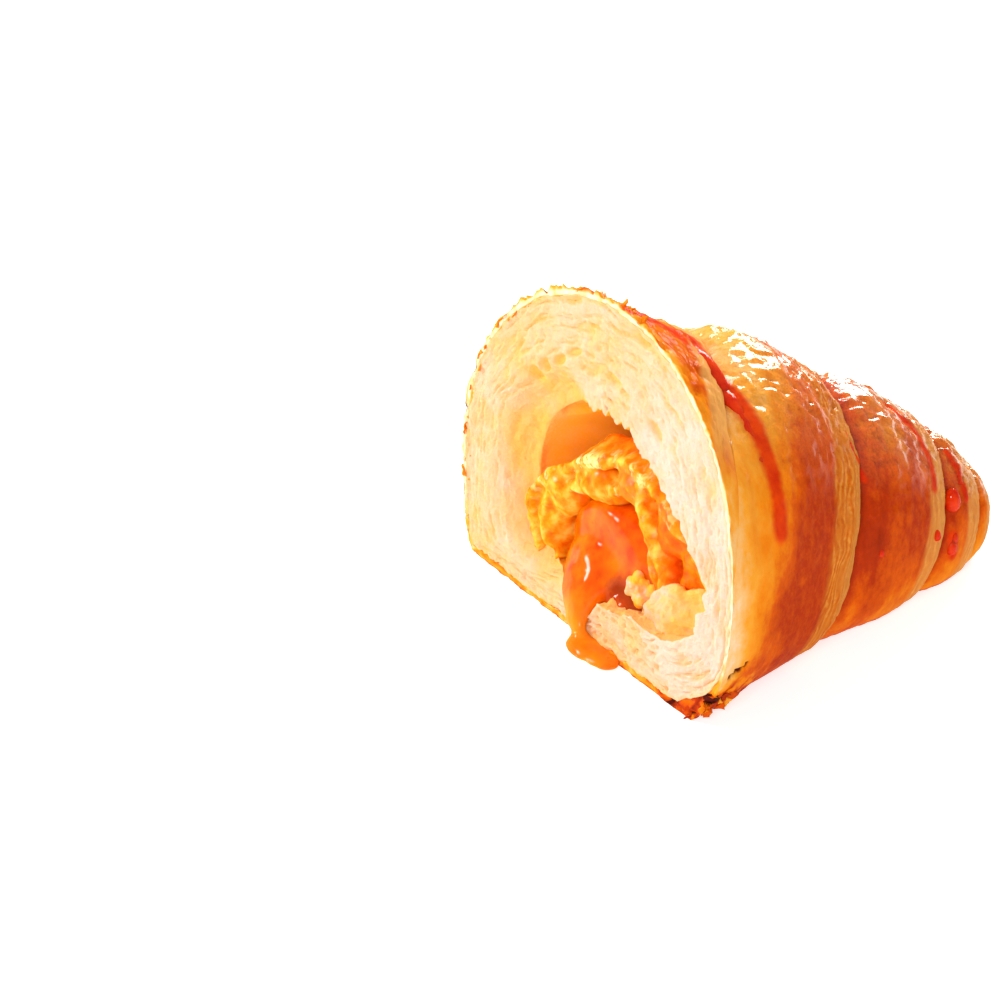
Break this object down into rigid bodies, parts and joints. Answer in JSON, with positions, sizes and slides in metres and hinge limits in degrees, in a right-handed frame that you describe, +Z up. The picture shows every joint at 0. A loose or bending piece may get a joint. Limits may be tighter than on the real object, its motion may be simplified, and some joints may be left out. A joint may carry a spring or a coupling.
{
  "type": "filled croissant half",
  "caption": "Half of a croissant cut across its middle, with rolled flaky wraps, a hollow crumb and apricot filling that runs over the lower lip onto the table.",
  "frame": {"origin": "on the table, under the middle of the whole piece", "axes": "+X from the cut face towards the tip, +Z up, the side with the glaze drips faces -Y"},
  "size_m": [0.0836, 0.0774, 0.057],
  "materials": {
    "crust": "baked golden brown crust with a satin egg wash",
    "crumb": "soft matte layered crumb",
    "filling": "wet glossy translucent fruit filling",
    "glaze": "hard glossy sugar glaze"
  },
  "bodies": {
    "root": {"pastry": "crust", "apricot_filling": "filling"}
  },
  "joints": []
}
